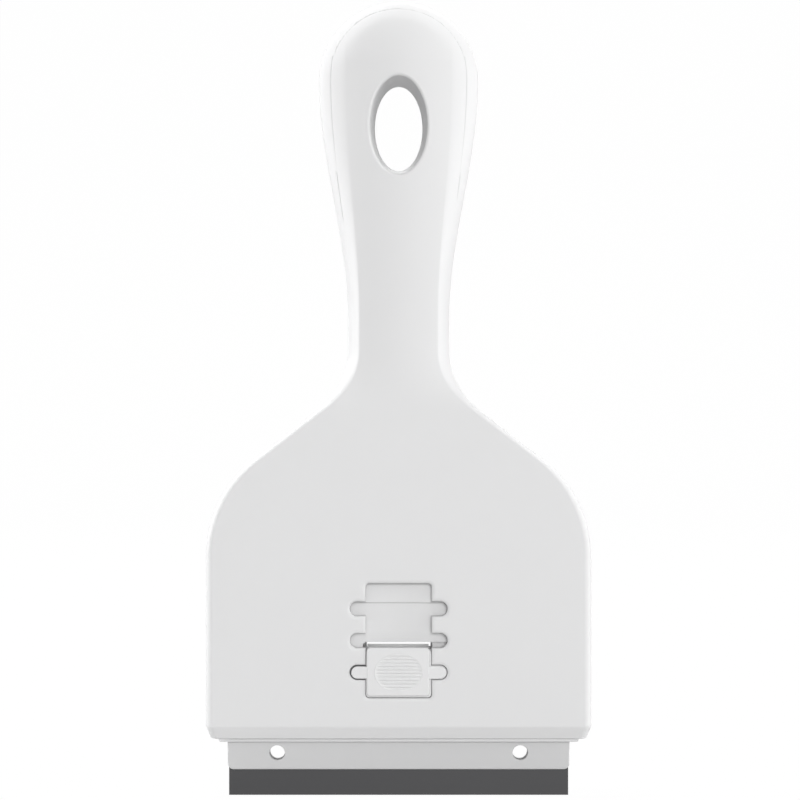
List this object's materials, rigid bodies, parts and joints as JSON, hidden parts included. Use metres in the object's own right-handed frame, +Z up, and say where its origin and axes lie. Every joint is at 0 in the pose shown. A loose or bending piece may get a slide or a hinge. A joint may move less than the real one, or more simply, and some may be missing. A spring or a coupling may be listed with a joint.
{
  "type": "aquarium algae scraper",
  "caption": "Hand scraper for aquarium glass: flat hollow head with a sliding, notch-locked blade carrier and a flattened handle with an oval hang hole.",
  "frame": {"origin": "middle of the blade's edge, below the middle of the housing's thickness, blade fully out", "axes": "+Z up the handle, away from the blade; -Y towards the face with the thumb pad; +X along the blade"},
  "size_m": [0.113, 0.0181, 0.2348],
  "materials": {
    "shell_plastic": "satin moulded white",
    "carrier_plastic": "satin moulded white",
    "latch_plastic": "satin moulded white",
    "blade_metal": "dark satin"
  },
  "bodies": {
    "housing": {"front_shell": "shell_plastic", "rear_shell": "shell_plastic"},
    "carrier": {"blade_carrier": "carrier_plastic", "blade_clamp": "carrier_plastic", "blade": "blade_metal"},
    "latch": {"latch_tongue": "latch_plastic", "thumb_pad": "latch_plastic"}
  },
  "joints": [
    {"name": "blade_slide", "type": "slide", "parent": "housing", "child": "carrier", "axis": [0, 0, 1], "range_m": [0, 0.0186]},
    {"name": "latch_press", "type": "hinge", "parent": "carrier", "child": "latch", "pos_m": [0, -0.0054, 0.0226], "axis": [-1, 0, 0], "range_deg": [0, 11], "stiffness_Nm_per_rad": 0.25, "deforming": ["latch_tongue"]}
  ]
}
